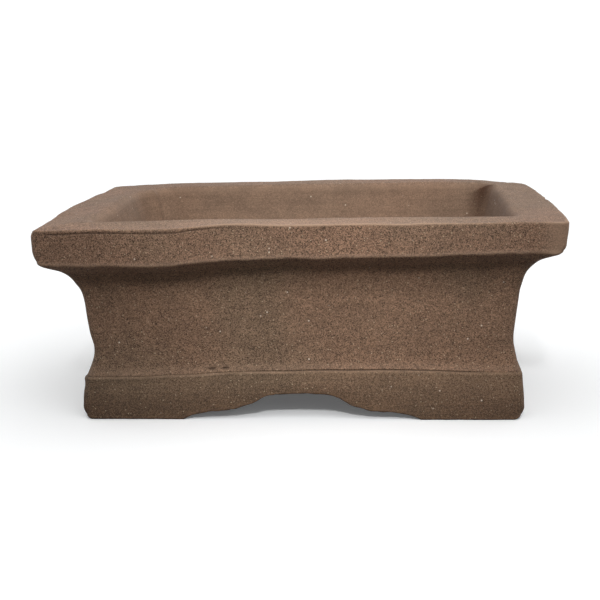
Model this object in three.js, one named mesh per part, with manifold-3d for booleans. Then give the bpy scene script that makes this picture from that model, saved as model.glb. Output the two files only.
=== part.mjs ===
// A small unglazed rectangular bonsai pot, slab built: clay slabs and strips cut to size, joined
// with slip and fired. Foot band strips carry a floor slab, four walls stand on the floor, a heavy
// lip strip caps each wall, and coils of clay are pressed into the inside seams.
//
// Units are millimetres and +Z is up. The origin is on the standing surface under the middle of
// the pot. X is the long way of the pot, and its front faces -Y.
//
// A section is drawn in (inset, height): inset is the distance in from the outermost rectangle of
// the pot, and height is above the standing surface.
import * as THREE from 'three';
import * as BufferGeometryUtils from 'three/addons/utils/BufferGeometryUtils.js';
import Module from 'manifold-3d';

const wasm = await Module();
wasm.setup();

// Driving dimensions
const potLength = 120;
const potDepth = 90;
const potHeight = 47;
const seamGap = 0.3; // slip seam left open between neighbouring pieces
const outerCornerRadius = 2.5;

const lipWidth = 11.5; // flat top of the lip, from outer edge to inner edge
const lipBase = 36.8;
const lipMouthCorner = 5; // corner radius of the opening
const lipLean = 0.5; // how far the outer face falls in towards its lower edge
const lipEdgeHeight = 39.4; // lower edge of the outer face, before it is rounded
const lipUnderDrop = 0.577; // fall of the underside per millimetre inwards, 30 degrees

const wallBase = 12.3;
const wallTop = lipBase - seamGap;
const wallOuterInset = 10.8; // at the base
const wallLean = THREE.MathUtils.degToRad(4.7);
const wallInnerBase = 15.9;
const wallInnerTop = 14.4;
const wallCornerRadius = 1; // inside corner, before the coil is pressed in

const coveRadius = 10; // hollow curve under the lip
const coveStart = 29.4; // height where the wall turns into the cove
const coveEndAngle = THREE.MathUtils.degToRad(60);

const floorUnderside = 7.2;
const floorTop = wallBase - seamGap;
const floorInset = 10.7;
const drainRadius = 6;
const drainSpread = 22; // from the middle of the pot to each drain hole
const wireHoleRadius = 2;
const wireHoleX = 34;
const wireHoleY = 18;

const footInset = 8.05; // widest part of the foot band, just above the ground
const footLipInset = 10.4; // back of the upstand that covers the floor slab's edge
const footInnerInset = 15.5;
const footBarTop = floorUnderside - seamGap;
const footBandTop = 12.7;
const archHalfWidth = 27; // long sides
const archHeight = 6.2;
const sideArchHalfWidth = 18.5;

const coilLeg = 5.5; // how far a pressed coil reaches along each wall
const coilEdge = 0.5; // its thickness where it feathers out

// Section points on the wall's outer face and the cove
const wallOuterAt = (height) => wallOuterInset - (height - wallBase) * Math.tan(wallLean);
const wallInnerSlope = (wallInnerBase - wallInnerTop) / (wallTop - wallBase);
const coveCentre = new THREE.Vector2(
  wallOuterAt(coveStart) - coveRadius * Math.cos(wallLean),
  coveStart - coveRadius * Math.sin(wallLean),
);
const coveAngleAt = (height) => Math.asin((height - coveCentre.y) / coveRadius);

// Section of a wall slab: leaning faces, and the lower part of the cove at its top
function wallSection() {
  const shape = new THREE.Shape();
  shape.moveTo(wallInnerBase, wallBase);
  shape.lineTo(wallInnerTop, wallTop);
  shape.absarc(coveCentre.x, coveCentre.y, coveRadius, coveAngleAt(wallTop), wallLean, true);
  shape.lineTo(wallOuterInset, wallBase);
  shape.closePath();
  return shape;
}

// Section of a lip strip: flat top, leaning outer face, rounded edges and a sloping underside that
// carries the end of the cove
function lipSection() {
  const coveEnd = new THREE.Vector2(
    coveCentre.x + coveRadius * Math.cos(coveEndAngle),
    coveCentre.y + coveRadius * Math.sin(coveEndAngle),
  );
  const lowerRound = 1.8;
  const upperRound = 0.8;
  const mouthRound = 1.2;
  const mouthSlope = (wallInnerTop - lipWidth) / (potHeight - lipBase);
  const faceSlope = lipLean / (potHeight - upperRound - lipEdgeHeight);
  const underside = lipEdgeHeight - lowerRound * lipUnderDrop;
  const shape = new THREE.Shape();
  shape.moveTo(wallInnerTop, lipBase);
  shape.lineTo(lipWidth + mouthRound * mouthSlope, potHeight - mouthRound);
  shape.quadraticCurveTo(lipWidth, potHeight, lipWidth - mouthRound, potHeight);
  shape.lineTo(upperRound, potHeight);
  shape.quadraticCurveTo(0, potHeight, 0, potHeight - upperRound);
  shape.lineTo(lipLean - lowerRound * faceSlope, lipEdgeHeight + lowerRound);
  shape.quadraticCurveTo(lipLean, lipEdgeHeight, lipLean + lowerRound, underside);
  shape.lineTo(coveEnd.x, coveEnd.y);
  shape.absarc(coveCentre.x, coveCentre.y, coveRadius, coveEndAngle, coveAngleAt(lipBase), true);
  shape.closePath();
  return shape;
}

// Section of a foot band strip: a bar under the floor slab, with an upstand in front of its edge
function footSection() {
  const heelRound = 0.9;
  const shoulderInset = 8.75;
  const shoulderHeight = 10.6;
  const shoulderCrest = footBandTop - 1.2;
  const topLand = 0.6; // narrow level edge of the upstand, against the wall
  const shape = new THREE.Shape();
  shape.moveTo(footInnerInset, 0);
  shape.lineTo(footInnerInset, footBarTop);
  shape.lineTo(footLipInset, footBarTop);
  shape.lineTo(footLipInset, footBandTop);
  shape.lineTo(footLipInset - topLand, footBandTop);
  shape.quadraticCurveTo(shoulderInset, shoulderCrest, shoulderInset, shoulderHeight);
  shape.lineTo(footInset, heelRound);
  shape.quadraticCurveTo(footInset, 0, footInset + heelRound, 0);
  shape.closePath();
  return shape;
}

// A strip along one side of the pot, made from its section. The section is swept along the side
// and round half of each corner, and both ends stop half a seam short of the 45 degree mitre.
// In the strip's own frame it runs along X and its outer face looks along +Y.
function mitredStrip(section, run, reach, innerCornerRadius) {
  const cornerSteps = 5;
  const innerSkin = 11.4; // insets beyond this belong to the inner face
  const lastStation = 2 * cornerSteps + 1;
  const geometry = new THREE.ExtrudeGeometry(section, {
    depth: lastStation,
    steps: lastStation,
    bevelEnabled: false,
    curveSegments: 5,
  });
  const position = geometry.attributes.position;
  for (let i = 0; i < position.count; i += 1) {
    const inset = position.getX(i);
    const height = position.getY(i);
    const station = Math.round(position.getZ(i));
    const radius = inset > innerSkin ? innerCornerRadius : outerCornerRadius;
    const mitreAngle = Math.PI / 4 - Math.asin(seamGap / 2 / radius);
    const atRightEnd = station <= cornerSteps;
    const stepsFromStraight = atRightEnd ? cornerSteps - station : station - cornerSteps - 1;
    const angle = (mitreAngle * stepsFromStraight) / cornerSteps;
    const end = atRightEnd ? 1 : -1;
    position.setXYZ(
      i,
      end * (run / 2 - inset - radius + radius * Math.sin(angle)),
      reach / 2 - inset - radius + radius * Math.cos(angle),
      height,
    );
  }
  geometry.computeVertexNormals();
  return geometry;
}

// The cloud-shaped cut in a foot strip, as a solid that runs right through the strip
function archCutter(halfWidth, reach) {
  const stretch = halfWidth / archHalfWidth;
  const halfOutline = [[0, archHeight], [6, 5.85], [9.5, 4.7], [13, 3.0], [18, 1.9], [24.5, 1.0]];
  const rightSide = halfOutline.slice(1).map(([x, z]) => new THREE.Vector2(x * stretch, z));
  const leftSide = halfOutline.map(([x, z]) => new THREE.Vector2(-x * stretch, z)).reverse();
  const belowGround = -1;
  const endStep = 0.1;
  const shape = new THREE.Shape();
  shape.moveTo(halfWidth, belowGround);
  shape.lineTo(-halfWidth, belowGround);
  shape.lineTo(-halfWidth, endStep);
  shape.splineThru([...leftSide, ...rightSide, new THREE.Vector2(halfWidth, endStep)]);
  shape.closePath();
  const overshoot = 2;
  const depth = footInnerInset - footInset + 2 * overshoot;
  const geometry = new THREE.ExtrudeGeometry(shape, { depth, bevelEnabled: false, curveSegments: 3 });
  geometry.rotateX(Math.PI / 2);
  geometry.translate(0, reach / 2 - footInset + overshoot, 0);
  return geometry;
}

function solidOf(geometry) {
  const bare = geometry.clone();
  bare.deleteAttribute('normal');
  bare.deleteAttribute('uv');
  const welded = BufferGeometryUtils.mergeVertices(bare, 1e-4);
  return new wasm.Manifold(new wasm.Mesh({
    numProp: 3,
    vertProperties: new Float32Array(welded.attributes.position.array),
    triVerts: new Uint32Array(welded.index.array),
  }));
}

function geometryOf(solid) {
  const mesh = solid.getMesh();
  const geometry = new THREE.BufferGeometry();
  geometry.setAttribute('position', new THREE.BufferAttribute(mesh.vertProperties, 3));
  geometry.setIndex(new THREE.BufferAttribute(mesh.triVerts, 1));
  geometry.computeVertexNormals();
  return geometry;
}

function footStrip(run, reach, halfWidth) {
  const strip = solidOf(mitredStrip(footSection(), run, reach, wallCornerRadius));
  return geometryOf(strip.subtract(solidOf(archCutter(halfWidth, reach))));
}

// The floor: a slab with rounded corners, two drain holes and four holes for the tie wires
function floorGeometry() {
  const halfX = potLength / 2 - floorInset;
  const halfY = potDepth / 2 - floorInset;
  const innerX = halfX - outerCornerRadius;
  const innerY = halfY - outerCornerRadius;
  const shape = new THREE.Shape();
  shape.moveTo(halfX, -innerY);
  shape.absarc(innerX, innerY, outerCornerRadius, 0, Math.PI / 2, false);
  shape.absarc(-innerX, innerY, outerCornerRadius, Math.PI / 2, Math.PI, false);
  shape.absarc(-innerX, -innerY, outerCornerRadius, Math.PI, 1.5 * Math.PI, false);
  shape.absarc(innerX, -innerY, outerCornerRadius, 1.5 * Math.PI, 2 * Math.PI, false);
  const addHole = (x, y, radius) => {
    const hole = new THREE.Path();
    hole.absarc(x, y, radius, 0, 2 * Math.PI, true);
    shape.holes.push(hole);
  };
  for (const side of [-1, 1]) {
    addHole(side * drainSpread, 0, drainRadius);
    for (const end of [-1, 1]) addHole(side * wireHoleX, end * wireHoleY, wireHoleRadius);
  }
  const geometry = new THREE.ExtrudeGeometry(shape, {
    depth: floorTop - floorUnderside,
    bevelEnabled: false,
    curveSegments: 10,
  });
  return geometry.translate(0, 0, floorUnderside);
}

// Section of a pressed coil, from the seam outwards: two feathered legs and a hollow face
function coilSection() {
  const reach = coilLeg;
  const blunting = 0.8; // keeps the coil clear of the slightly rounded inside corner
  const heel = seamGap + blunting;
  const face = reach - seamGap - coilEdge;
  const shape = new THREE.Shape();
  shape.moveTo(heel, seamGap);
  shape.lineTo(reach, seamGap);
  shape.absarc(reach, reach, face, 1.5 * Math.PI, Math.PI, true);
  shape.lineTo(seamGap, reach);
  shape.lineTo(seamGap, heel);
  shape.closePath();
  return shape;
}

// Upright coil in a corner. It leans outwards with the two walls that it joins. In its own frame
// the seam starts at the origin and the walls are along -X and -Y of it.
function cornerCoilGeometry() {
  const height = wallTop - wallBase;
  const geometry = new THREE.ExtrudeGeometry(coilSection(), {
    depth: height,
    bevelEnabled: false,
    curveSegments: 8,
  });
  geometry.rotateZ(Math.PI);
  const position = geometry.attributes.position;
  for (let i = 0; i < position.count; i += 1) {
    const lean = position.getZ(i) * wallInnerSlope;
    position.setX(i, position.getX(i) + lean);
    position.setY(i, position.getY(i) + lean);
  }
  geometry.computeVertexNormals();
  return geometry;
}

// Coil along the seam between the floor and a wall, between two upright coils. In its own frame it
// runs along X, the wall is at +Y and the floor is below.
function floorCoilGeometry(run) {
  const length = run - 2 * (wallInnerBase + coilLeg + seamGap);
  const geometry = new THREE.ExtrudeGeometry(coilSection(), {
    depth: length,
    bevelEnabled: false,
    curveSegments: 8,
  });
  geometry.translate(0, 0, -length / 2);
  geometry.rotateX(Math.PI / 2);
  geometry.rotateZ(-Math.PI / 2);
  return geometry;
}

const pot = new THREE.Group();

function addPiece(name, geometry, colour, turn = 0) {
  const material = new THREE.MeshStandardMaterial({ color: colour, roughness: 0.92, metalness: 0 });
  const mesh = new THREE.Mesh(geometry, material);
  mesh.name = name;
  mesh.rotation.z = turn;
  pot.add(mesh);
  return mesh;
}

const lipClay = 0x84675a;
const wallClay = 0x75594b;
const footClay = 0x6d5646;
const insideClay = 0x846b5c;

// turn brings a strip's outer face from +Y to its own side of the pot
const sides = [
  { side: 'front', turn: Math.PI, run: potLength, reach: potDepth, arch: archHalfWidth },
  { side: 'back', turn: 0, run: potLength, reach: potDepth, arch: archHalfWidth },
  { side: 'left', turn: Math.PI / 2, run: potDepth, reach: potLength, arch: sideArchHalfWidth },
  { side: 'right', turn: -Math.PI / 2, run: potDepth, reach: potLength, arch: sideArchHalfWidth },
];

addPiece('floor_slab', floorGeometry(), insideClay);

for (const { side, turn, run, reach, arch } of sides) {
  addPiece(`foot_${side}`, footStrip(run, reach, arch), footClay, turn);
  addPiece(`wall_${side}`, mitredStrip(wallSection(), run, reach, wallCornerRadius), wallClay, turn);
  addPiece(`lip_${side}`, mitredStrip(lipSection(), run, reach, lipMouthCorner), lipClay, turn);

  const floorCoil = addPiece(`floor_coil_${side}`, floorCoilGeometry(run), insideClay, turn);
  const seamDistance = reach / 2 - wallInnerBase;
  floorCoil.position.set(-seamDistance * Math.sin(turn), seamDistance * Math.cos(turn), floorTop);
}

const corners = [
  { corner: 'back_right', x: 1, y: 1, turn: 0 },
  { corner: 'back_left', x: -1, y: 1, turn: Math.PI / 2 },
  { corner: 'front_left', x: -1, y: -1, turn: Math.PI },
  { corner: 'front_right', x: 1, y: -1, turn: -Math.PI / 2 },
];

for (const { corner, x, y, turn } of corners) {
  const coil = addPiece(`corner_coil_${corner}`, cornerCoilGeometry(), insideClay, turn);
  coil.position.set(
    x * (potLength / 2 - wallInnerBase),
    y * (potDepth / 2 - wallInnerBase),
    wallBase,
  );
}

export default pot;
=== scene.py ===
"""Small unglazed bonsai pot: hand-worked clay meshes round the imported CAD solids.

Lengths in the mesh code are millimetres in the frame of the CAD. They become metres in make_piece.
A section is drawn in (inset, height): inset is the distance in from the outermost rectangle of the
pot, height is above the standing surface. Front faces -Y and X is the long way.
"""
import math

import bmesh
import bpy
import numpy as np
from mathutils import Matrix, Vector


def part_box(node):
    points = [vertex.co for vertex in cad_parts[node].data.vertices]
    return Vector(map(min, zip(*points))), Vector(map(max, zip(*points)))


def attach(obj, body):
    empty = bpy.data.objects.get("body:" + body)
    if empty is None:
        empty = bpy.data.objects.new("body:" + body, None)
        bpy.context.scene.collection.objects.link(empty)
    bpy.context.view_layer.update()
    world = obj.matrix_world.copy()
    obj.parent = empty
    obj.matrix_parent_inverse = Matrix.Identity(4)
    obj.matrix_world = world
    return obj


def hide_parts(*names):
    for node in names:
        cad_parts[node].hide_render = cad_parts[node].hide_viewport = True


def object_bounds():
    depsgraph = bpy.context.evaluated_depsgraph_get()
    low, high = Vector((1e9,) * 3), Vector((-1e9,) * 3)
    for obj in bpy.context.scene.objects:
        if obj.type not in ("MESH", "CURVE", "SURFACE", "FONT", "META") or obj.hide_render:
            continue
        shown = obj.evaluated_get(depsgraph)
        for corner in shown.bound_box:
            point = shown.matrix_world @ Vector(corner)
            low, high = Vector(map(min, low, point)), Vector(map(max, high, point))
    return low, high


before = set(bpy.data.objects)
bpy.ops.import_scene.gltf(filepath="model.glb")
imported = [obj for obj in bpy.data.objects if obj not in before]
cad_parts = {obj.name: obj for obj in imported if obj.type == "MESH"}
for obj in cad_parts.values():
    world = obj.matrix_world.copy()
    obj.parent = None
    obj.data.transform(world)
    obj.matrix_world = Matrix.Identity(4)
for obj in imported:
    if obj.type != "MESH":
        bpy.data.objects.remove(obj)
cad_low, cad_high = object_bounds()

MM = 1000.0
POT_LENGTH = (cad_high.x - cad_low.x) * MM
POT_DEPTH = (cad_high.y - cad_low.y) * MM
POT_HEIGHT = cad_high.z * MM
HALF_LENGTH = POT_LENGTH / 2
HALF_DEPTH = POT_DEPTH / 2

LIP_SEAM = (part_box("lip_front")[0].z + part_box("wall_front")[1].z) / 2 * MM
FLOOR_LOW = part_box("floor_slab")[0].z * MM
FLOOR_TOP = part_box("floor_slab")[1].z * MM
FLOOR_MIDDLE = (FLOOR_LOW + FLOOR_TOP) / 2
FLOOR_HALF_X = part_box("floor_slab")[1].x * MM
FLOOR_HALF_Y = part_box("floor_slab")[1].y * MM
FOOT_INSET = HALF_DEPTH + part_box("foot_front")[0].y * MM
FOOT_SEAM = 12.05
OUTER_RADIUS = 2.5
MOUTH_RADIUS = 5.0
MOUTH_EDGE = 11.2
LIP_LOWER_EDGE = 39.1
LIP_FACE_TILT = 0.45
UNDERSIDE_SLOPE = 0.577
LEFT_BACK_MOUTH_REACH = 9.0
RIGHT_BACK_CORNER_REACH = 13.0
BODY_SHIFT = 0.43
WALL_INNER_BASE = 15.9
WALL_INNER_TOP = 14.4
WALL_LEAN = math.radians(4.7)
COVE_RADIUS = 10.0
COVE_CENTRE = (-0.53, 28.58)

SIDES = {
    "front": (math.pi, POT_LENGTH, POT_DEPTH),
    "back": (0.0, POT_LENGTH, POT_DEPTH),
    "left": (math.pi / 2, POT_DEPTH, POT_LENGTH),
    "right": (-math.pi / 2, POT_DEPTH, POT_LENGTH),
}


# ---------------------------------------------------------------- small maths

def smooth(x, low, high):
    """0 below low, 1 above high, and a smooth rise between them."""
    s = np.clip((x - low) / (high - low), 0.0, 1.0)
    return s * s * (3.0 - 2.0 * s)


def bell(x, centre, width):
    return np.exp(-(((x - centre) / width) ** 2))


def curve(xs, ys, blur=2.0):
    """A smooth curve near the points, as a function."""
    step = 0.5
    grid = np.arange(xs[0] - 6 * blur, xs[-1] + 6 * blur, step)
    values = np.interp(grid, xs, ys)
    kernel = np.exp(-0.5 * (np.arange(-4 * blur, 4 * blur + step, step) / blur) ** 2)
    kernel /= kernel.sum()
    padded = np.pad(values, len(kernel) // 2, mode="edge")
    blurred = np.convolve(padded, kernel, mode="same")[len(kernel) // 2:][:len(grid)]
    return lambda x: np.interp(x, grid, blurred)


def lattice(cell, seed):
    """A fixed pseudo-random number from -1 to 1 for each lattice cell."""
    n = cell[..., 0] * 374761393 + cell[..., 1] * 668265263 + cell[..., 2] * 1442695041
    n = (n + seed * 974634777) & 0xFFFFFFFF
    n = ((n ^ (n >> 13)) * 1274126177) & 0xFFFFFFFF
    n = ((n ^ (n >> 16)) * 2246822519) & 0xFFFFFFFF
    return (n & 0xFFFFFF) / float(0x7FFFFF) - 1.0


def noise(points, wavelength, seed):
    """Smooth noise from -1 to 1 that depends only on the place."""
    q = points / wavelength + 0.37 * seed + 1000.0
    cell = np.floor(q).astype(np.int64)
    f = q - cell
    f = f * f * f * (f * (f * 6.0 - 15.0) + 10.0)
    total = np.zeros(points.shape[:-1])
    for corner in np.ndindex(2, 2, 2):
        weight = np.ones(points.shape[:-1])
        for axis, bit in enumerate(corner):
            weight = weight * (f[..., axis] if bit else 1.0 - f[..., axis])
        total += weight * lattice(cell + np.array(corner), seed)
    return total


# ---------------------------------------------------------------- the hand-worked shape
# Each curve gives a height or an offset in millimetres at places along the pot's length, depth or
# height. The number after the two lists, if any, is the blur.

front_top_outer = curve(
    [-60, -54, -49, -44, -36, -28, -22.7, -17.6, -12.7, 0, 18, 30, 40, 50, 57],
    [-0.9, -0.7, -0.25, -0.15, -0.4, -0.45, 0.0, 0.45, 0.5, 0.25, 0.45, 0.4, 0.25, 0.2, 0.2],
    2.0)
front_top_inner = curve(
    [-60, -45, -30, -15, 0, 15, 25, 36, 45, 60],
    [0.0, 0.15, 0.35, 0.4, 0.35, 0.6, 0.65, 0.45, 0.3, 0.1])
back_top = curve(
    [-58, -49, -36, -20, 0, 12, 25, 37, 46, 54],
    [-0.5, 0.0, 0.35, 0.6, 0.9, 1.05, 1.05, 0.95, 0.7, 0.1])
front_lower_edge = curve(
    [-60, -28, -25, -21, -17.5, -14, -10, -3, 0, 4, 11, 22, 30, 36, 60],
    [-1.15, -1.15, -0.85, -0.5, -0.2, -0.05, 0.1, 0.5, 0.6, 0.3, 0.55, 0.75, 0.7, 1.1, 1.1], 1.2)
back_lower_edge = curve([-60, -30, 0, 30, 60], [-0.4, 0.3, -0.2, 0.4, -0.1], 5.0)
left_bow = curve(
    [-45, -35, -26, -15, 0, 12, 19, 28, 34, 45],
    [1.2, 1.1, 0.4, 1.0, 1.6, 0.8, 0.5, 0.2, -0.2, -1.0])
right_bow = curve(
    [-45, -40, -27, -8, 5, 14, 26, 34, 45],
    [-0.2, 0.0, 0.45, 0.4, -0.1, -0.5, -1.2, -2.0, -2.4], 2.5)
left_profile = curve(
    [5, 8, 10, 12, 13.3, 14.8, 15.8, 19.6, 23.4, 27, 29, 31, 33, 35, 38],
    [-0.25, -0.25, 0.0, -0.35, -0.35, 0.35, 0.45, -0.25, -0.5, -0.5, -0.7, -0.95, -1.2, -0.3, 0.0], 0.8)
right_profile = curve(
    [6, 10, 12, 13.8, 15.7, 17, 19.4, 24, 29, 32.4, 34.3, 36.2, 38, 39.5],
    [0.25, 0.25, 0.25, 0.5, 0.5, 0.1, -0.2, 0.0, 0.2, 0.2, -0.4, -0.5, -0.9, 0.0], 0.7)
front_ridge = curve(
    [-60, -46, -36, -26, -19, -10, 0, 9, 18, 27, 37, 46, 60],
    [-2.2, -2.1, -1.9, -1.4, -0.8, -0.6, -0.3, -0.1, -0.15, -0.25, -0.6, -0.8, -0.9])
back_ridge = curve([-60, -30, 0, 30, 60], [-1.0, -0.5, -0.7, -0.2, -0.8], 5.0)


def plan_inset(p):
    return np.minimum(HALF_LENGTH - np.abs(p[..., 0]), HALF_DEPTH - np.abs(p[..., 1]))


def inner_skin(p):
    """1 on the inside of the basin and 0 on the outer skin and on top of the lip."""
    low = 1 - smooth(p[..., 2], LIP_SEAM - 1.0, POT_HEIGHT - 3.0)
    return smooth(plan_inset(p), 9.6 + 2.0 * low, 11.4 + 1.8 * low)


def lip_heights(p):
    """Rise and fall of the lip's top and lower edge, as pressed and cut by hand."""
    x, y, z = p[..., 0], p[..., 1], p[..., 2]
    inset = plan_inset(p)
    to_back = smooth(y, -40, 40)
    inner = smooth(inset, 1.0, 11.0)
    front = front_top_outer(x) * (1 - inner) + front_top_inner(x) * inner
    top = front * (1 - to_back) + back_top(x) * to_back
    lower = front_lower_edge(x) * (1 - to_back) + back_lower_edge(x) * to_back
    outer_skin = 1 - smooth(inset, 8.0, 13.0)
    at_top = smooth(z, 39.6, 45.5)
    below = lower * outer_skin * smooth(z, 27.5, 39.4)
    inside = top * (1 - outer_skin) * smooth(z, 36.0, 45.0)
    return at_top * top + (1 - at_top) * (below + inside)


def lip_outline(p):
    """Bowed ends of the lip, and the well rounded back right corner."""
    x, y, z = p[..., 0], p[..., 1], p[..., 2]
    inset = plan_inset(p)
    high = smooth(z, 30.0, 39.0)
    edge = 1 - 0.7 * smooth(inset, 0.0, 12.0)
    dx = -left_bow(y) * smooth(-x, 30.0, 56.0) * edge * high
    dx = dx + right_bow(y) * smooth(x, 30.0, 56.0) * edge * high
    a = np.clip(RIGHT_BACK_CORNER_REACH - (HALF_LENGTH - x), 0.0, None)
    b = np.clip(RIGHT_BACK_CORNER_REACH - (HALF_DEPTH - y), 0.0, None)
    round_off = corner_pull(a, b)
    dx = dx + a * round_off * high
    dy = b * round_off * high
    notch = bell(y, 1.5, 1.5) * smooth(x, 50.0, 59.0) * smooth(z, 42.0, 46.0)
    return dx - 0.9 * notch, dy


def corner_pull(a, b):
    """How far a square corner is pulled in to make a round one, as a share of a and b."""
    inside = (a > 0) & (b > 0)
    return np.where(inside, np.maximum(a, b) / np.maximum(np.hypot(a, b), 1e-9), 1.0) - 1.0


def rounded_ends(p):
    """Softer lower corners at the ends of the lip and the foot, and a soft upper left end."""
    x, y, z = p[..., 0], p[..., 1], p[..., 2]
    side = np.sign(x)
    inset = HALF_LENGTH - np.abs(x)
    lip = smooth(z, 34.0, 37.0)
    lower_radius = np.where(x < 0, 3.2, 2.0)
    dx, dz = underside_round(inset, z, lower_radius, lip)
    top_radius = 1.9
    a = np.clip(top_radius - inset, 0.0, None)
    b = np.clip(top_radius - (POT_HEIGHT - z), 0.0, top_radius)
    pull = corner_pull(a, b) * (x < 0) * smooth(-y, 22.0, 44.0)
    dx = dx - a * pull
    dz = dz + b * pull
    foot_radius = 3.0
    a = np.clip(foot_radius - (inset - FOOT_INSET), 0.0, None)
    b = np.clip(foot_radius - z, 0.0, foot_radius)
    pull = corner_pull(a, b) * smooth(np.abs(y), 28.0, 33.0) * (z < 6)
    return -side * (dx - a * pull), dz - b * pull


def underside_round(inset, z, radius, where):
    """Rounds the lip's lower corner, which lies between an upright face and a sloping underside."""
    def fall(depth):
        return UNDERSIDE_SLOPE * np.maximum(depth - LIP_FACE_TILT, 0.0)

    level = z + fall(inset)
    a = np.clip(radius - inset, 0.0, None)
    b = np.clip(radius - (level - LIP_LOWER_EDGE), 0.0, radius)
    pull = -corner_pull(a, b) * where
    return a * pull, fall(inset) + b * pull - fall(inset + a * pull)


def mouth_corners(p):
    """The opening's left back corner is filled wide and soft, its right back corner is a tight crease."""
    x, y, z = p[..., 0], p[..., 1], p[..., 2]
    inset = plan_inset(p)
    slope = (WALL_INNER_TOP - MOUTH_EDGE) / (POT_HEIGHT - LIP_SEAM)
    edge = MOUTH_EDGE + (POT_HEIGHT - np.clip(z, LIP_SEAM, POT_HEIGHT)) * slope
    high = smooth(z, 20.0, 36.0)
    a = LEFT_BACK_MOUTH_REACH - (HALF_LENGTH - edge + x)
    b = LEFT_BACK_MOUTH_REACH - (HALF_DEPTH - edge - y)
    low = 1 - smooth(z, LIP_SEAM - 1.0, POT_HEIGHT - 3.0)
    near = smooth(inset, 8.0 + 3.7 * low, 11.0 + 2.2 * low) * high
    pull = corner_pull(np.clip(a, 0, None), np.clip(b, 0, None)) * near
    dx = -np.clip(a, 0, None) * pull
    dy = np.clip(b, 0, None) * pull
    wander = x + 0.6 * noise(p * [0, 0, 1], 4.0, 7)
    dy -= 0.28 * bell(wander, -43.0, 1.6) * smooth(y, 24.0, 29.0) * inner_skin(p) * high
    from_corner = np.hypot(HALF_LENGTH - edge - 1.2 - x, HALF_DEPTH - edge - 1.2 - y)
    crease = bell(from_corner, 0.0, 2.6) * near * (1 - 0.8 * smooth(z, 41.0, 45.5))
    return dx - 0.4 * crease, dy + 0.7 * crease


def side_profiles(p):
    """Each end of the body and foot has its own hand-worked profile."""
    x, z = p[..., 0], p[..., 2]
    outer = 1 - smooth(plan_inset(p), 11.5, 14.0)
    left = left_profile(z) * smooth(-x, 30.0, 47.0)
    right = right_profile(z) * smooth(x, 30.0, 47.0)
    return (left + right) * outer * (z < 40)


def ridge_drop(p):
    """The top of the foot band dips towards the corners."""
    to_back = smooth(p[..., 1], -35, 35)
    drop = front_ridge(p[..., 0]) * (1 - to_back) + back_ridge(p[..., 0]) * to_back
    z = p[..., 2]
    return drop * smooth(z, 4.5, 10.5) * (1 - smooth(z, 12.5, 17.5)) * (1 - smooth(plan_inset(p), 10.5, 12.0))


def worked(p):
    """Moves points from the drawn shape to the hand-worked one. It depends only on the place."""
    z = p[..., 2]
    out = p.copy()
    dx, dy = lip_outline(p)
    end_dx, end_dz = rounded_ends(p)
    mouth_dx, mouth_dy = mouth_corners(p)
    out[..., 0] += dx + end_dx + mouth_dx + side_profiles(p) - BODY_SHIFT * (1 - smooth(z, 33.0, 39.0))
    out[..., 1] += dy + mouth_dy
    out[..., 2] += lip_heights(p) + ridge_drop(p) + end_dz
    off_ground = smooth(z, 0.0, 2.5)
    for axis in range(3):
        slow = 0.24 * noise(p, 23.0, 11 + axis) + 0.12 * noise(p, 9.0, 21 + axis)
        fine = 0.045 * noise(p, 3.1, 31 + axis) + 0.022 * noise(p, 1.3, 41 + axis)
        amount = slow + fine
        out[..., axis] += amount * (off_ground if axis == 2 else 1.0)
    return out


# ---------------------------------------------------------------- sections

def rounded(corners):
    """A closed outline from (inset, height, radius) corners, with the corners rounded."""
    outline = []
    count = len(corners)
    for i, (px, pz, radius) in enumerate(corners):
        here = np.array([px, pz])
        before = np.array(corners[i - 1][:2])
        after = np.array(corners[(i + 1) % count][:2])
        if radius == 0:
            outline.append(here)
            continue
        u = (before - here) / np.linalg.norm(before - here)
        v = (after - here) / np.linalg.norm(after - here)
        start, end = here + u * radius, here + v * radius
        for s in np.linspace(0, 1, 9):
            outline.append((1 - s) ** 2 * start + 2 * s * (1 - s) * here + s ** 2 * end)
    return np.array(outline)


def resampled(outline, spacing):
    """Points along a closed outline. spacing(inset, height) gives their distance."""
    step = 0.02
    closed = np.vstack([outline, outline[:1]])
    lengths = np.linalg.norm(np.diff(closed, axis=0), axis=1)
    walk = np.concatenate([[0], np.cumsum(lengths)])
    fine = np.arange(0, walk[-1], step)
    dense = np.stack([np.interp(fine, walk, closed[:, k]) for k in (0, 1)], axis=1)
    density = 1.0 / spacing(dense[:, 0], dense[:, 1])
    amount = np.concatenate([[0], np.cumsum(step * density)])
    count = int(round(amount[-1]))
    targets = np.arange(count) * amount[-1] / count
    position = np.interp(targets, amount, np.concatenate([fine, [walk[-1]]]))
    return np.stack([np.interp(position, walk, closed[:, k]) for k in (0, 1)], axis=1)


def cove_points(low, high, step=0.35):
    """The hollow curve under the lip, from height low to height high."""
    a0 = math.asin((low - COVE_CENTRE[1]) / COVE_RADIUS)
    a1 = math.asin((high - COVE_CENTRE[1]) / COVE_RADIUS)
    count = max(2, int(abs(a1 - a0) * COVE_RADIUS / step))
    return [(COVE_CENTRE[0] + COVE_RADIUS * math.cos(a), COVE_CENTRE[1] + COVE_RADIUS * math.sin(a), 0)
            for a in np.linspace(a0, a1, count)]


def lip_section():
    cove_end = COVE_CENTRE[1] + COVE_RADIUS * math.sin(math.radians(60))
    corners = [
        (WALL_INNER_TOP, LIP_SEAM, 0),
        (MOUTH_EDGE, POT_HEIGHT, 2.2),
        (0.0, POT_HEIGHT, 0.4),
        (LIP_FACE_TILT, LIP_LOWER_EDGE, 0.6),
    ] + cove_points(cove_end, LIP_SEAM)
    return resampled(rounded(corners), lip_spacing)


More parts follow.
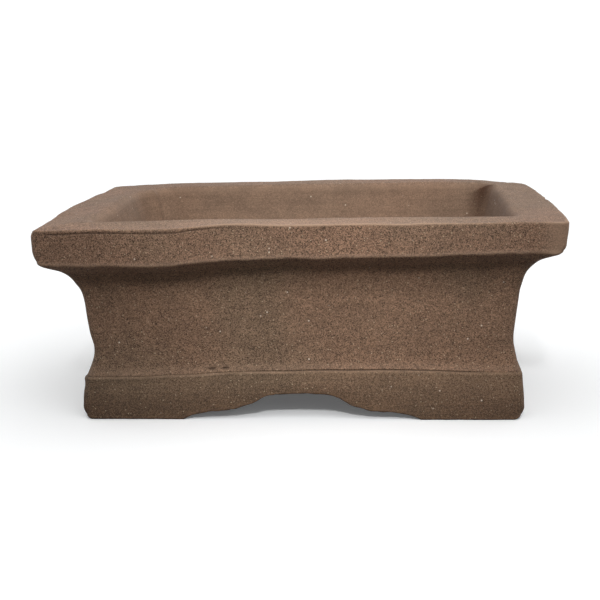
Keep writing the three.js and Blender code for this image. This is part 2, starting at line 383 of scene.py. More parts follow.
def lip_spacing(inset, height):
    spacing = np.full(inset.shape, 0.5)
    hidden = (np.abs(height - LIP_SEAM) < 0.03) & (inset > 7.6)
    spacing[hidden] = 1.5
    outer = inset < 1.2
    spacing[outer & (height > 45.2)] = 0.16
    spacing[outer & (height < 40.4)] = 0.2
    spacing[(np.abs(height - LIP_SEAM) < 0.5) & (np.abs(height - LIP_SEAM) >= 0.03)] = 0.15
    return spacing


def wall_section():
    flare = [(9.22, FOOT_SEAM, 0), (9.3, 12.2, 0), (9.55, 12.75, 0), (9.85, 13.5, 0), (10.1, 14.4, 0),
             (10.28, 15.5, 0), (10.36, 17.0, 0)]
    lean_height = 20.0
    lean_inset = 10.8 - (lean_height - 12.3) * math.tan(WALL_LEAN)
    corners = [(WALL_INNER_BASE, FOOT_SEAM, 0), (10.6, FOOT_SEAM, 0)]
    corners += flare + [(lean_inset, lean_height, 0)] + cove_points(29.4, LIP_SEAM)
    corners += [(WALL_INNER_TOP, LIP_SEAM, 0)]
    return resampled(rounded(corners), wall_spacing)


def wall_spacing(inset, height):
    spacing = np.full(inset.shape, 0.5)
    on_lip_seam = (np.abs(height - LIP_SEAM) < 0.03) & (inset > 7.6)
    on_foot_seam = (height < FOOT_SEAM + 0.03) & (inset > 9.4)
    hidden = on_lip_seam | on_foot_seam
    spacing[hidden] = 1.5
    spacing[(inset > 13.0) & ~hidden] = 0.8
    spacing[(inset < 9.8) & (height < 13.3)] = 0.12
    spacing[(np.abs(height - LIP_SEAM) < 0.5) & ~hidden] = 0.15
    return spacing


def foot_section():
    corners = [
        (15.5, 0.0, 0.3),
        (15.5, FLOOR_LOW, 0.3),
        (10.6, FLOOR_LOW, 0),
        (10.6, FOOT_SEAM, 0),
        (9.22, FOOT_SEAM, 0),
        (8.72, 11.75, 0.45),
        (FOOT_INSET, 0.0, 0.5),
    ]
    return resampled(rounded(corners), foot_spacing)


def foot_spacing(inset, height):
    spacing = np.full(inset.shape, 0.45)
    spacing[inset > 10.0] = 1.2
    spacing[(inset > 10.0) & (height < 0.5)] = 0.6
    spacing[(inset < 9.8) & (height > 11.2)] = 0.1
    spacing[(inset < 9.4) & (height < 1.0)] = 0.2
    return spacing


# ---------------------------------------------------------------- strips

def corner_radius(section, inner_radius):
    """Corner radius for each section point: the outer skin's, or the inner skin's."""
    inset, height = section[:, 0], section[:, 1]
    inner = (inset > 11.4).astype(float)
    top = height > 44.0
    inner = np.where(top, smooth(inset, 3.0, 11.4), inner)
    return OUTER_RADIUS + (inner_radius - OUTER_RADIUS) * inner


def strip_grid(section, side, inner_radius, pitch=0.55):
    """Points (station, section point, xyz) of a strip that ends on both mitre planes."""
    turn, run, reach = SIDES[side]
    inset, height = section[:, 0], section[:, 1]
    radius = corner_radius(section, inner_radius)
    straight = run / 2 - inset - radius
    fixed = run / 2 - 22.0
    middle = np.linspace(-fixed, fixed, int(2 * fixed / pitch) + 1)
    rows = []
    for x in middle:
        rows.append((np.full(inset.shape, x), reach / 2 - inset))
    outer = []
    for e in np.linspace(0, 1, int((run / 2 - fixed) / pitch) + 1)[1:]:
        outer.append((fixed + e * (straight - fixed), reach / 2 - inset))
    for degrees in (5, 10, 15, 20, 25, 30, 35, 40, 43.5, 45):
        angle = math.radians(degrees)
        outer.append((straight + radius * math.sin(angle),
                      reach / 2 - inset - radius + radius * math.cos(angle)))
    rows = [(-x, y) for x, y in reversed(outer)] + rows + outer
    x = np.array([row[0] for row in rows])
    y = np.array([row[1] for row in rows])
    z = np.broadcast_to(height, x.shape)
    c, s = math.cos(turn), math.sin(turn)
    return np.stack([c * x - s * y, s * x + c * y, z], axis=-1), x


def closed_faces(stations, around):
    """Quads of a closed loft, with an n-gon at each end."""
    j = np.arange(stations - 1)[:, None] * around
    i = np.arange(around)[None, :]
    k = (i + 1) % around
    quads = np.stack([j + i, j + k, j + around + k, j + around + i], axis=-1).reshape(-1, 4)
    last = (stations - 1) * around
    caps = [list(range(around))[::-1], [last + n for n in range(around)]]
    return quads.tolist() + caps, len(quads)


def make_piece(name, points, faces, smooth_count, nodes, material, masks=None):
    """A mesh object in metres, riding on the root body and standing for its CAD nodes."""
    mesh = bpy.data.meshes.new(name)
    mesh.from_pydata((points.reshape(-1, 3) / MM).tolist(), [], faces)
    mesh.polygons.foreach_set("use_smooth", [n < smooth_count for n in range(len(mesh.polygons))])
    for key, values in (masks or {}).items():
        layer = mesh.attributes.new(key, "FLOAT", "POINT")
        layer.data.foreach_set("value", np.asarray(values, dtype=np.float32).ravel())
    fix = bmesh.new()
    fix.from_mesh(mesh)
    bmesh.ops.recalc_face_normals(fix, faces=fix.faces)
    fix.to_mesh(mesh)
    fix.free()
    mesh.materials.append(material)
    piece = bpy.data.objects.new(name, mesh)
    bpy.context.scene.collection.objects.link(piece)
    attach(piece, "root")
    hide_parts(*nodes)
    return piece


# ---------------------------------------------------------------- materials

class Clay:
    """Builds a clay material from nodes. Object coordinates are scaled to millimetres."""

    def __init__(self, name):
        self.material = bpy.data.materials.new(name)
        self.material.use_nodes = True
        self.tree = self.material.node_tree
        self.shader = self.tree.nodes["Principled BSDF"]
        place = self.add("ShaderNodeTexCoord")
        scale = self.add("ShaderNodeVectorMath", operation="SCALE")
        scale.inputs["Scale"].default_value = MM
        self.link(place.outputs["Object"], scale.inputs[0])
        self.place = scale.outputs["Vector"]

    def add(self, kind, **settings):
        node = self.tree.nodes.new(kind)
        for key, value in settings.items():
            setattr(node, key, value)
        return node

    def link(self, source, target):
        self.tree.links.new(source, target)

    def stretched(self, factors):
        node = self.add("ShaderNodeMapping")
        node.inputs["Scale"].default_value = factors
        self.link(self.place, node.inputs["Vector"])
        return node.outputs["Vector"]

    def noise(self, size, detail=2.0, rough=0.5, vector=None):
        """Noise from 0 to 1 with features of about this size in millimetres."""
        node = self.add("ShaderNodeTexNoise")
        node.inputs["Scale"].default_value = 1.0 / size
        node.inputs["Detail"].default_value = detail
        node.inputs["Roughness"].default_value = rough
        self.link(vector or self.place, node.inputs["Vector"])
        return node.outputs["Fac"]

    def cells(self, size):
        """Distance from the middle of a cell of this size in millimetres, and the cell's random colour."""
        node = self.add("ShaderNodeTexVoronoi")
        node.inputs["Scale"].default_value = 1.0 / size
        self.link(self.place, node.inputs["Vector"])
        return node.outputs["Distance"], node.outputs["Color"]

    def remap(self, value, low, high, to_low=0.0, to_high=1.0):
        node = self.add("ShaderNodeMapRange", interpolation_type="SMOOTHSTEP")
        for key, number in (("From Min", low), ("From Max", high), ("To Min", to_low), ("To Max", to_high)):
            node.inputs[key].default_value = number
        self.link(value, node.inputs["Value"])
        return node.outputs["Result"]

    def math(self, operation, a, b, c=None):
        node = self.add("ShaderNodeMath", operation=operation)
        for index, value in enumerate((a, b, c)):
            if value is None:
                continue
            if isinstance(value, (int, float)):
                node.inputs[index].default_value = value
            else:
                self.link(value, node.inputs[index])
        return node.outputs["Value"]

    def mix(self, factor, a, b, blend="MIX"):
        node = self.add("ShaderNodeMix", data_type="RGBA", blend_type=blend)
        node.clamp_factor = True
        for index, value in ((0, factor), (6, a), (7, b)):
            if isinstance(value, (int, float)):
                node.inputs[index].default_value = value
            elif isinstance(value, tuple):
                node.inputs[index].default_value = (*value, 1.0)
            else:
                self.link(value, node.inputs[index])
        return node.outputs[2]

    def red_of(self, colour):
        node = self.add("ShaderNodeSeparateColor")
        self.link(colour, node.inputs["Color"])
        return node.outputs["Red"]

    def mask(self, name):
        return self.add("ShaderNodeAttribute", attribute_name=name).outputs["Fac"]


INSIDE_RED = (0.25, 0.157, 0.103)
INSIDE_OLIVE = (0.228, 0.148, 0.099)
PALE_GRAIN = (0.5, 0.38, 0.25)
WHITE_GRIT = (0.72, 0.62, 0.5)
PALE_WEAR_AND_HIGHLIGHT = (0.385, 0.258, 0.177)
RUSTY_CUT = (0.2, 0.115, 0.058)
RELIEF_METRES = 0.00022


def sandy_tone(clay, grit):
    """Brightness of the single sand grains, with small dark pits between them."""
    sand = clay.noise(0.17, 1.0, 0.7)
    each = clay.math("SUBTRACT", clay.red_of(clay.cells(0.19)[1]), 0.5)
    pits = clay.math("MULTIPLY", clay.remap(sand, 0.27, 0.45, 1.0, 0.0), grit)
    dark = clay.math("SUBTRACT", 1.0, clay.math("MULTIPLY", pits, 0.22))
    grains = clay.math("MULTIPLY_ADD", clay.math("MULTIPLY", each, grit), 1.3, 1.0)
    return clay.math("MULTIPLY", dark, grains), sand


def specks(clay, colour, size, share, radius, tint, strength):
    """Scattered single grains of another colour. share is the part of the cells that has one."""
    distance, random_colour = clay.cells(size)
    pick = clay.remap(clay.red_of(random_colour), 1.0 - share, 1.0 - share + 0.02)
    spot = clay.math("MULTIPLY", clay.remap(distance, 0.4 * radius / size, radius / size, 1.0, 0.0), pick)
    return clay.mix(clay.math("MULTIPLY", spot, strength), colour, tint)


def fired_colour(clay, red, olive):
    """Large patches where the body fired redder or more olive. The inside is an even brown."""
    patch = clay.remap(clay.noise(34.0, 2.0, 0.45), 0.38, 0.62)
    inside = clay.mix(patch, INSIDE_OLIVE, INSIDE_RED)
    return clay.mix(clay.mask("inner"), clay.mix(patch, olive, red), inside)


def shaded(clay, tone):
    """The tone as a colour. Where shade is painted, the clay turns warmer as well as darker."""
    tint = clay.add("ShaderNodeCombineColor")
    for channel, loss in (("Red", 0.42), ("Green", 0.48), ("Blue", 0.52)):
        kept = clay.math("SUBTRACT", 1.0, clay.math("MULTIPLY", clay.mask("shade"), loss))
        clay.link(clay.math("MULTIPLY", tone, kept), tint.inputs[channel])
    return tint.outputs["Color"]


def edge_colours(clay, colour, red):
    """Handled edges are paler, and so are the places with a painted highlight; cut edges are rusty and seams
    darker.
    """
    colour = clay.mix(clay.math("MULTIPLY", clay.mask("wear_and_highlight"), 0.5), colour, PALE_WEAR_AND_HIGHLIGHT)
    raw = clay.remap(clay.noise(2.2, 2.0, 0.6), 0.45, 0.62)
    rust = clay.math("MULTIPLY", clay.math("MULTIPLY", clay.mask("cut"), raw), 0.4)
    colour = clay.mix(rust, colour, RUSTY_CUT)
    return clay.mix(clay.math("MULTIPLY", clay.mask("seam"), 0.7), colour, tuple(0.28 * c for c in red))


def add_relief(clay, sand, wiped, grit, streaks, bump):
    """Fine relief of sand grains, wipe marks and shallow dents."""
    height = clay.math("MULTIPLY", clay.math("MULTIPLY", sand, grit), 0.7)
    height = clay.math("ADD", height, clay.math("MULTIPLY", wiped, 0.5 * streaks))
    height = clay.math("ADD", height, clay.math("MULTIPLY", clay.noise(1.6, 2.0, 0.5), 0.7))
    relief = clay.add("ShaderNodeBump")
    relief.inputs["Strength"].default_value = 0.6 * bump
    relief.inputs["Distance"].default_value = RELIEF_METRES
    clay.link(height, relief.inputs["Height"])
    clay.link(relief.outputs["Normal"], clay.shader.inputs["Normal"])


def clay_material(name, red, olive, grain=1.0, streaks=0.5, bump=1.0):
    """Rough sandy clay. grain, streaks and bump set how strong the sand, wipe marks and relief are."""
    clay = Clay(name)
    colour = fired_colour(clay, red, olive)
    # cloudy blotches
    blotch = clay.remap(clay.noise(6.0, 3.0, 0.6), 0.3, 0.7, 0.9, 1.09)
    # wipe marks that run level round the pot
    wiped = clay.noise(1.0, 3.0, 0.6, clay.stretched((0.025, 0.025, 1.4)))
    wipe = clay.remap(wiped, 0.3, 0.7, 1 - 0.14 * streaks, 1 + 0.12 * streaks)
    grit = clay.math("MULTIPLY", clay.mask("grit"), grain)
    grains, sand = sandy_tone(clay, grit)
    tone = clay.math("MULTIPLY", clay.math("MULTIPLY", blotch, wipe), grains)
    colour = clay.mix(1.0, colour, shaded(clay, tone), "MULTIPLY")
    # pale grains, then scattered larger grits
    pale = clay.math("MULTIPLY", clay.remap(sand, 0.55, 0.72), grit)
    colour = clay.mix(clay.math("MULTIPLY", pale, 0.5), colour, tuple(2.1 * c + 0.04 for c in red))
    colour = specks(clay, colour, 0.6, 0.15, 0.18, PALE_GRAIN, clay.math("MULTIPLY", grit, 0.75))
    colour = specks(clay, colour, 1.6, 0.085, 0.26, WHITE_GRIT, 0.9)
    clay.link(edge_colours(clay, colour, red), clay.shader.inputs["Base Color"])
    clay.link(clay.remap(sand, 0.3, 0.7, 0.97, 0.8), clay.shader.inputs["Roughness"])
    clay.shader.inputs["Specular IOR Level"].default_value = 0.25
    add_relief(clay, sand, wiped, grit, streaks, bump)
    return clay.material


lip_clay = clay_material("clay_lip", (0.208, 0.122, 0.077), (0.185, 0.116, 0.074), 1.35, 0.5)
wall_clay = clay_material("clay_wall", (0.192, 0.114, 0.071), (0.165, 0.107, 0.067), 1.2, 0.5)
foot_clay = clay_material("clay_foot", (0.16, 0.099, 0.06), (0.138, 0.09, 0.055), 0.85, 0.9)
inside_clay = clay_material("clay_inside", INSIDE_RED, INSIDE_OLIVE, 0.6, 0.3, 0.7)


# ---------------------------------------------------------------- pieces

def inside_shade(nominal, inner):
    """Painted shade inside the right wall, which faces away from the light, in the crease of the corner
    behind it, and faintly in the left back corner.
    """
    x, y, z = nominal[..., 0], nominal[..., 1], nominal[..., 2]
    upper = smooth(z, 20, 30)
    shade = 0.92 * smooth(x, 40.0, 46.0) * inner * (y < 33) * upper
    corner = bell(np.hypot(46.9 - x, 33.0 - y), 0.0, 2.7)
    shade += 0.9 * corner * inner * upper
    shade += 0.12 * bell(x, -45.5, 3.0) * smooth(y, 18.0, 30.0) * inner * upper
    return shade


def mark_lip(masks, nominal, breaks):
    """Handled edges of the lip, crisp along the middle and right of the front and soft at its ends, with a
    painted highlight on the middle of the front top and a paler front right end, partly wear and partly a
    painted highlight.
    """
    x, y, z = nominal[..., 0], nominal[..., 1], nominal[..., 2]
    inset = plan_inset(nominal)
    top = smooth(z, 44.0, 46.0) * (inset > 0.8)
    at_front = smooth(-y, 33.0, 40.0)
    masks["grit"] *= 1.0 - (0.35 - 0.25 * at_front) * top
    crisp = smooth(x, -26.0, -20.0) * (1 - 0.8 * smooth(x, 30.0, 45.0))
    edge = bell(z, 46.82, 0.28) * bell(inset, 0.1, 0.5)
    masks["wear_and_highlight"] += edge * (0.35 + (0.6 + 0.6 * breaks) * crisp)
    masks["wear_and_highlight"] += bell(z, 39.5, 0.5) * (inset < 1.5) * (0.4 + 0.6 * breaks)
    # Paler front right end: partly wear, partly a painted highlight where the rounded corner catches the
    # light from the right.
    masks["wear_and_highlight"] += 0.85 * smooth(x, 52.0, 58.0) * (inset < 1.0) * (y < -40)
    # Painted highlight: a pool of light on the middle of the front top.
    masks["wear_and_highlight"] += 0.45 * at_front * smooth(z, 46.5, 46.95) * bell(x, 2.0, 34.0)
    masks["grit"] *= 1 - 0.5 * smooth(x, 54.0, 58.0) * (y < -40)


def mark_wall(masks, nominal):
    """A painted highlight on the up-facing roll just above the foot, and painted shade low on the outside."""
    z, inset = nominal[..., 2], plan_inset(nominal)
    # Painted highlight where the roll above the foot faces up to the light.
    masks["wear_and_highlight"] += 0.3 * smooth(z, 12.0, 12.4) * (1 - smooth(z, 12.9, 14.2)) * (inset < 11)
    # Painted shade low on the outside of the wall, where the floor would shut out light.
    masks["shade"] += 0.42 * (1 - smooth(z, 11.0, 22.0)) * (1 - masks["inner"])


def mark_foot(masks, nominal, breaks):
    """A worn ridge with a scored line under its left part, and painted shade that darkens the band towards
    the ground and at its left front end.
    """
    x, y, z = nominal[..., 0], nominal[..., 1], nominal[..., 2]
    inset = plan_inset(nominal)
    soft_end = 1 - 0.7 * smooth(x, 28.0, 42.0) - 0.45 * smooth(-x, 18.0, 34.0)
    masks["wear_and_highlight"] += bell(z, 11.85, 0.3) * bell(inset, 8.95, 0.5) * (0.15 + 0.6 * breaks) * soft_end
    left_front = smooth(-x, 14.0, 24.0) * (y < -30)
    masks["seam"] += 0.4 * bell(z, 11.35, 0.16) * (inset < 9.2) * left_front
    # Painted shade: the band darkens towards the ground, where the floor shuts out light.
    masks["shade"] += 0.85 * (1 - smooth(z, 0.0, 11.0))
    # Painted shade on the left front end, which turns away from the light.
    left_end = 0.8 * smooth(-x, 50.0, 51.7) + 0.25 * smooth(-x, 42.0, 51.0)
    masks["shade"] += left_end * smooth(-y, 28.0, 36.0)


def edge_masks(nominal, kind):
    """Masks for the clay material, from 0 to about 1, worked out from the drawn position."""
    x, z = nominal[..., 0], nominal[..., 2]
    inner = np.ones(z.shape)
    if kind in ("lip", "wall"):
        inner = inner_skin(nominal)
    if kind == "foot":
        inner = (plan_inset(nominal) > 10.2).astype(float)
    masks = {key: np.zeros(z.shape) for key in ("wear_and_highlight", "seam", "cut")}
    # Painted shade: the outer skin darkens towards both ends, most at the left, where less light falls.
    painted_end_shade = 0.2 * smooth(-x, 8.0, 46.0) + 0.08 * smooth(x, 20.0, 46.0)
    masks["shade"] = inside_shade(nominal, inner) + painted_end_shade * (1 - inner)
    masks["grit"] = 1.0 - 0.7 * inner
    masks["inner"] = inner
    breaks = 0.5 + 0.5 * noise(nominal, 5.0, 71)
    if kind == "lip":
        mark_lip(masks, nominal, breaks)
    if kind == "wall":
        mark_wall(masks, nominal)
    if kind == "foot":
        mark_foot(masks, nominal, breaks)
    return masks


def front_groove(points, nominal):
    """The hairline left under the front top edge where the lip was built up."""
    x, y, z = nominal[..., 0], nominal[..., 1], nominal[..., 2]
    along = smooth(x, -57.5, -54.0) * (1 - smooth(x, -22.0, -13.0))
    line = 46.05 + 0.12 * noise(nominal * [1, 0, 0], 6.0, 5)
    amount = bell(z, line, 0.16) * along * (y < -HALF_DEPTH + 1.0)
    points[..., 1] += 0.2 * amount
    return amount


def build_lip(side):
    section = lip_section()
    nominal, _ = strip_grid(section, side, MOUTH_RADIUS)
    points = worked(nominal)
    masks = edge_masks(nominal, "lip")
    if side == "front":
        masks["seam"] += 1.1 * front_groove(points, nominal)
    z, inset = nominal[..., 2], plan_inset(nominal)
    ragged = bell(z, 39.3, 0.6) * (inset < 1.6)
    points[..., 2] += 0.12 * ragged * noise(nominal, 1.6, 91) + 0.07 * ragged * noise(nominal, 0.7, 92)
    faces, smooth_count = closed_faces(*nominal.shape[:2])
    return make_piece(f"rim_{side}", points, faces, smooth_count, [f"lip_{side}"],
                      lip_clay, masks)


def seam_strength(nominal):
    """Where the seam between wall and foot was left open rather than smeared shut."""
    x, y = nominal[..., 0], nominal[..., 1]
    front = smooth(x, -20.0, 6.0) * (1 - smooth(x, 34.0, 46.0))
    at_front = smooth(-y, 20.0, 34.0)
    elsewhere = 0.5 + 0.5 * noise(nominal * [1, 1, 0], 14.0, 61)
    faint = 0.25 - 0.2 * smooth(x, 30.0, 42.0)
    return at_front * (faint + (1 - faint) * front) + (1 - at_front) * 0.6 * elsewhere


def seam_cracks(points, nominal):
    """Two short drying cracks just above the foot band, left of the middle."""
    x, y, z = nominal[..., 0], nominal[..., 1], nominal[..., 2]
    level = 12.9 + 0.16 * noise(nominal * [1, 0, 0], 0.9, 13)
    along = smooth(x, -22.2, -21.4) * (1 - smooth(x, -20.4, -19.8))
    along += smooth(x, -18.8, -18.2) * (1 - smooth(x, -17.4, -16.6))
    amount = bell(z, level, 0.2) * along * (y < -33)
    points[..., 1] += 0.45 * amount
    return 1.4 * amount


def foot_seam_groove(points, nominal):
    z, inset = nominal[..., 2], plan_inset(nominal)
    amount = bell(z, FOOT_SEAM, 0.13) * (inset < 10.2) * seam_strength(nominal)
    x, y = nominal[..., 0], nominal[..., 1]
    length = np.hypot(x, y)
    points[..., 0] -= 0.2 * amount * x / length
    points[..., 1] -= 0.2 * amount * y / length
    return amount


def build_wall(side):
    nominal, _ = strip_grid(wall_section(), side, 1.0)
    points = worked(nominal)
    masks = edge_masks(nominal, "wall")
    masks["seam"] += foot_seam_groove(points, nominal) + seam_cracks(points, nominal)
    faces, smooth_count = closed_faces(*nominal.shape[:2])
    return make_piece(f"body_{side}", points, faces, smooth_count, [f"wall_{side}"],
                      wall_clay, masks)


ARCH_X = [0, 3, 6, 8, 9.5, 11, 12.5, 14.1, 16.5, 20, 22.7, 24.5, 26, 27.2, 28]
ARCH_Z = [6.55, 6.5, 6.25, 5.85, 5.1, 4.15, 3.45, 3.0, 2.25, 1.95, 1.7, 1.3, 0.9, 0.5, 0.0]
arch_curve = curve([-x for x in reversed(ARCH_X)] + ARCH_X[1:], list(reversed(ARCH_Z)) + ARCH_Z[1:], 0.5)


def arch_height(along, half_width):
    """Height of the cloud-shaped cut at a distance along the strip."""
    stretch = half_width / ARCH_X[-1]
    lift = arch_curve(along / stretch)
    return np.where(np.abs(along) < half_width, np.maximum(lift, 0.0), 0.0)


def raise_arch(nominal, along, half_width):
    """Lifts the lower edge of a foot strip to the arch and packs the clay above it."""
    z = nominal[..., 2]
    inner = plan_inset(nominal) > 10.2
    lift = arch_height(along, half_width)
    edge = np.where(inner, 0.3, 0.5)
    full = np.where(inner, FLOOR_LOW, 10.4)
    packed = lift + edge + (z - edge) * (full - lift - edge) / (full - edge)
    raised = np.where(z <= edge, z + lift, np.where(z < full, packed, z))
    out = nominal.copy()
    out[..., 2] = raised
    return out, lift


def build_foot(side):
    half_width = ARCH_X[-1] if side in ("front", "back") else 19.0
    nominal, along = strip_grid(foot_section(), side, 1.0)
    arched, lift = raise_arch(nominal, along, half_width)
    points = worked(arched)
    masks = edge_masks(nominal, "foot")
    masks["seam"] += foot_seam_groove(points, nominal)
    chipped = (1 - smooth(nominal[..., 2], 0.3, 2.0)) * smooth(lift, 0.3, 0.9)
    points[..., 2] += chipped * (0.11 * noise(nominal, 1.5, 95) + 0.07 * noise(nominal, 0.8, 96))
    bottom = 1 - smooth(nominal[..., 2], 0.2, 1.6)
    masks["cut"] += bottom * (0.55 + 0.45 * smooth(lift, 0.0, 1.0))
    faces, smooth_count = closed_faces(*nominal.shape[:2])
    return make_piece(f"foot_band_{side}", points, faces, smooth_count, [f"foot_{side}"],
                      foot_clay, masks)


def build_floor_coil(side):
    """The coil pressed along the seam of floor and wall, mitred with its neighbours."""
    width, height, hollow = 5.2, 5.6, 1.15
    arc = [(WALL_INNER_BASE - 0.35 + width * (1 - math.cos(a)) ** hollow,
            FLOOR_TOP + height * (1 - math.sin(a)) ** hollow, 0)
           for a in np.linspace(0, math.pi / 2, 16)]
    corners = [(WALL_INNER_BASE - 0.5, FLOOR_TOP - 0.15, 0)] + arc[::-1]
    section = resampled(rounded(corners), lambda t, z: np.full(t.shape, 0.7))
    nominal, _ = strip_grid(section, side, 1.0, 1.0)
    points = worked(nominal)
    faces, smooth_count = closed_faces(*nominal.shape[:2])
    return make_piece(f"floor_seam_{side}", points, faces, smooth_count, [f"floor_coil_{side}"],
                      inside_clay, edge_masks(nominal, "coil"))


def build_corner_coil(corner, sx, sy):
    """The coil pressed into an upright inside seam."""
    slope = (WALL_INNER_BASE - WALL_INNER_TOP) / (LIP_SEAM - FOOT_SEAM)
    fillet = MOUTH_RADIUS
    section = [(-0.4, -0.4), (fillet + 0.5, -0.4)]
    section += [(fillet * (1 - math.sin(a)) + 0.05, fillet * (1 - math.cos(a)) + 0.05)
                for a in np.linspace(0, math.pi / 2, 15)]
    section += [(-0.4, fillet + 0.5)]
    rows = []
    for z in np.arange(FLOOR_TOP, LIP_SEAM + 0.4, 0.8):
        inset = WALL_INNER_BASE - (z - FOOT_SEAM) * slope
        rows.append([(sx * (HALF_LENGTH - inset - u), sy * (HALF_DEPTH - inset - v), z) for u, v in section])
    nominal = np.array(rows)
    points = worked(nominal)
    faces, smooth_count = closed_faces(*nominal.shape[:2])
    return make_piece(f"corner_seam_{corner}", points, faces, smooth_count, [f"corner_coil_{corner}"],
                      inside_clay, edge_masks(nominal, "coil"))


DRAIN_HOLES = [(22, 0, 6.0), (-22, 0, 6.0)]
WIRE_HOLES = [(34 * a, 18 * b, 2.0) for a in (-1, 1) for b in (-1, 1)]
FLOOR_VOXEL = 0.85


def object_from(name, shape):
    """An object in the scene made from a bmesh, which is used up."""
    mesh = bpy.data.meshes.new(name)
    shape.to_mesh(mesh)
    shape.free()
    made = bpy.data.objects.new(name, mesh)
    bpy.context.scene.collection.objects.link(made)
    return made


def floor_blank():
    """The plain slab, 0.1 mm larger than the CAD one all round."""
    slab = bmesh.new()
    bmesh.ops.create_cube(slab, size=1.0)
    for vertex in slab.verts:
        vertex.co.x *= 2 * FLOOR_HALF_X + 0.2
        vertex.co.y *= 2 * FLOOR_HALF_Y + 0.2
        vertex.co.z = FLOOR_MIDDLE + vertex.co.z * (FLOOR_TOP - FLOOR_LOW)
    return object_from("floor_blank", slab)


def hole_cutters():
    """Upright cylinders where the drain holes and the wire holes go."""
    cutters = bmesh.new()
    for x, y, radius in DRAIN_HOLES + WIRE_HOLES:
        made = bmesh.ops.create_cone(cutters, cap_ends=True, segments=48,
                                     radius1=radius, radius2=radius, depth=12)
        bmesh.ops.translate(cutters, verts=made["verts"], vec=(x, y, FLOOR_MIDDLE))
    return object_from("floor_cutters", cutters)


def build_floor():
    """The floor slab with its drain holes and wire holes, remeshed for soft hand-cut edges."""
    blank = floor_blank()
    tool = hole_cutters()
    cut = blank.modifiers.new("holes", "BOOLEAN")
    cut.object = tool
    cut.operation = "DIFFERENCE"
    cut.solver = "EXACT"
    even = blank.modifiers.new("even", "REMESH")
    even.mode = "VOXEL"
    even.voxel_size = FLOOR_VOXEL
    soft = blank.modifiers.new("soft", "SMOOTH")
    soft.iterations = 3
    evaluated = blank.evaluated_get(bpy.context.evaluated_depsgraph_get())
    result = bpy.data.meshes.new_from_object(evaluated)
    points = np.array([v.co[:] for v in result.vertices])
    faces = [list(p.vertices) for p in result.polygons]
    for leftover in (blank, tool):
        bpy.data.objects.remove(leftover)
    return make_piece("floor", worked(points), faces, len(faces), ["floor_slab"],
                      inside_clay, edge_masks(points, "floor"))


for side_name in SIDES:
    build_lip(side_name)
    build_wall(side_name)
    build_foot(side_name)
    build_floor_coil(side_name)
for sy, end in ((-1, "front"), (1, "back")):
    for sx, hand in ((-1, "left"), (1, "right")):
        build_corner_coil(f"{end}_{hand}", sx, sy)
build_floor()


# ---------------------------------------------------------------- stage, light and camera

def add_sheet(name, profile, emission):
    """A round white sheet, the (radius, z) profile turned about the pot. It doesn't tint the pot."""
    turns = 72
    verts = []
    for radius, z in profile:
        for turn in np.arange(turns) * 2 * math.pi / turns:
            verts.append((radius * math.cos(turn), radius * math.sin(turn), z))
    faces = []
    for ring in range(len(profile) - 1):
        for k in range(turns):
            following = (k + 1) % turns
            low, high = ring * turns, (ring + 1) * turns
            faces.append((low + k, high + k, high + following, low + following))
    if profile[0][1] == profile[-1][1]:
        faces.append(tuple(range(turns)))
    mesh = bpy.data.meshes.new(name)
    mesh.from_pydata(verts, [], faces)
    mesh.polygons.foreach_set("use_smooth", [True] * len(faces))
    paper = bpy.data.materials.new(name)
    paper.use_nodes = True
    shader = paper.node_tree.nodes["Principled BSDF"]
    shader.inputs["Base Color"].default_value = (0.97, 0.985, 1.0, 1)
    shader.inputs["Roughness"].default_value = 1.0
    shader.inputs["Specular IOR Level"].default_value = 0.0
    shader.inputs["Emission Color"].default_value = (0.88, 0.95, 1, 1)
    shader.inputs["Emission Strength"].default_value = emission
    mesh.materials.append(paper)
    sheet = bpy.data.objects.new(name, mesh)
    sheet.visible_diffuse = False
    bpy.context.scene.collection.objects.link(sheet)
    return sheet


def build_stage():
    """A plain white floor and a backdrop that curves up all round it."""
    floor_radius, bend_radius, top = 1.2, 0.8, 2.6
    bend = [(floor_radius + bend_radius * math.sin(a), bend_radius - bend_radius * math.cos(a))
            for a in np.linspace(0, math.pi / 2, 12)]
    add_sheet("floor_paper", [(floor_radius / 2, 0.0), (floor_radius, 0.0)], 0.1)
    backdrop = add_sheet("backdrop", bend + [(floor_radius + bend_radius, top)], 1.2)
    backdrop.visible_shadow = False


def build_world():
    """Soft studio surroundings: bright above, dim below the horizon."""
    world = bpy.data.worlds.new("studio")
    world.use_nodes = True
    nodes, links = world.node_tree.nodes, world.node_tree.links
    place = nodes.new("ShaderNodeTexCoord")
    split = nodes.new("ShaderNodeSeparateXYZ")
    ramp = nodes.new("ShaderNodeValToRGB")
    rise = nodes.new("ShaderNodeMapRange")
    rise.inputs["From Min"].default_value = -1.0
    rise.inputs["From Max"].default_value = 1.0
    links.new(place.outputs["Generated"], split.inputs[0])
    links.new(split.outputs["Z"], rise.inputs["Value"])
    links.new(rise.outputs["Result"], ramp.inputs["Fac"])
    ramp.color_ramp.elements[0].position = 0.0
    ramp.color_ramp.elements[0].color = (0.05, 0.042, 0.035, 1)
    ramp.color_ramp.elements[1].position = 1.0
    ramp.color_ramp.elements[1].color = (1.0, 1.0, 1.0, 1)
    for position, level in ((0.47, 0.05), (0.5, 0.14), (0.75, 0.45)):
        stop = ramp.color_ramp.elements.new(position)
        stop.color = (level, level * 0.97, level * 0.93, 1)
    links.new(ramp.outputs["Color"], nodes["Background"].inputs["Color"])
    nodes["Background"].inputs["Strength"].default_value = 1.45
    bpy.context.scene.world = world


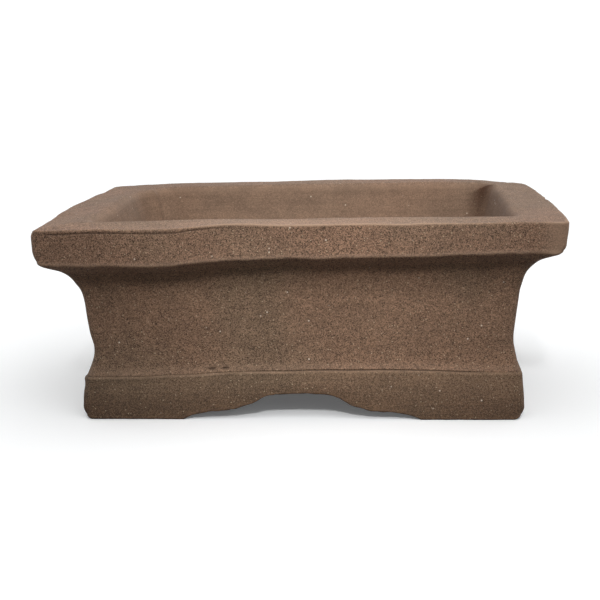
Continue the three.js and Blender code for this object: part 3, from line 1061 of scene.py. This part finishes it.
def hang_lamp(name, light, place, aim):
    """Puts a light at a place, turned towards the point that it is aimed at."""
    lamp = bpy.data.objects.new(name, light)
    lamp.location = place
    lamp.rotation_euler = (Vector(aim) - Vector(place)).to_track_quat("-Z", "Y").to_euler()
    bpy.context.scene.collection.objects.link(lamp)


def add_area(name, place, aim, size, power):
    """A large soft light."""
    light = bpy.data.lights.new(name, "AREA")
    light.shape = "RECTANGLE"
    light.size, light.size_y = size
    light.energy = power
    hang_lamp(name, light, place, aim)


def add_spot(name, place, aim, power):
    """A soft pool of light on the middle of the pot, which fades towards its ends."""
    light = bpy.data.lights.new(name, "SPOT")
    light.energy = power
    light.spot_size = math.radians(13.0)
    light.spot_blend = 1.0
    light.shadow_soft_size = 0.03
    hang_lamp(name, light, place, aim)


def build_camera():
    """The photo's viewpoint: slightly above, a little right of the middle and turned left."""
    yaw, pitch, roll = math.radians(-4.12), math.radians(11.02), math.radians(-1.02)
    ahead = Vector((math.sin(yaw) * math.cos(pitch), math.cos(yaw) * math.cos(pitch), -math.sin(pitch)))
    right = Vector((math.cos(yaw), -math.sin(yaw), 0))
    up = right.cross(ahead)
    right_rolled = right * math.cos(roll) + up * math.sin(roll)
    up_rolled = up * math.cos(roll) - right * math.sin(roll)
    data = bpy.data.cameras.new("camera")
    image_width, focal_pixels, sensor = 600.0, 1342.0, 36.0
    data.sensor_width = sensor
    data.lens = focal_pixels / image_width * sensor
    data.clip_start = 0.01
    camera = bpy.data.objects.new("camera", data)
    turn = Matrix((right_rolled, up_rolled, -ahead)).transposed().to_4x4()
    camera.matrix_world = Matrix.Translation((0.0216, -0.3399, 0.0878)) @ turn
    bpy.context.scene.collection.objects.link(camera)
    bpy.context.scene.camera = camera


build_stage()
build_world()
add_area("key", (0.45, -0.75, 0.75), (0, 0, 0.03), (0.9, 0.9), 2.5)
add_spot("front", (0.02, -0.52, 0.36), (0.006, -0.04, 0.038), 9.0)
build_camera()
bpy.context.scene.view_settings.view_transform = "Standard"
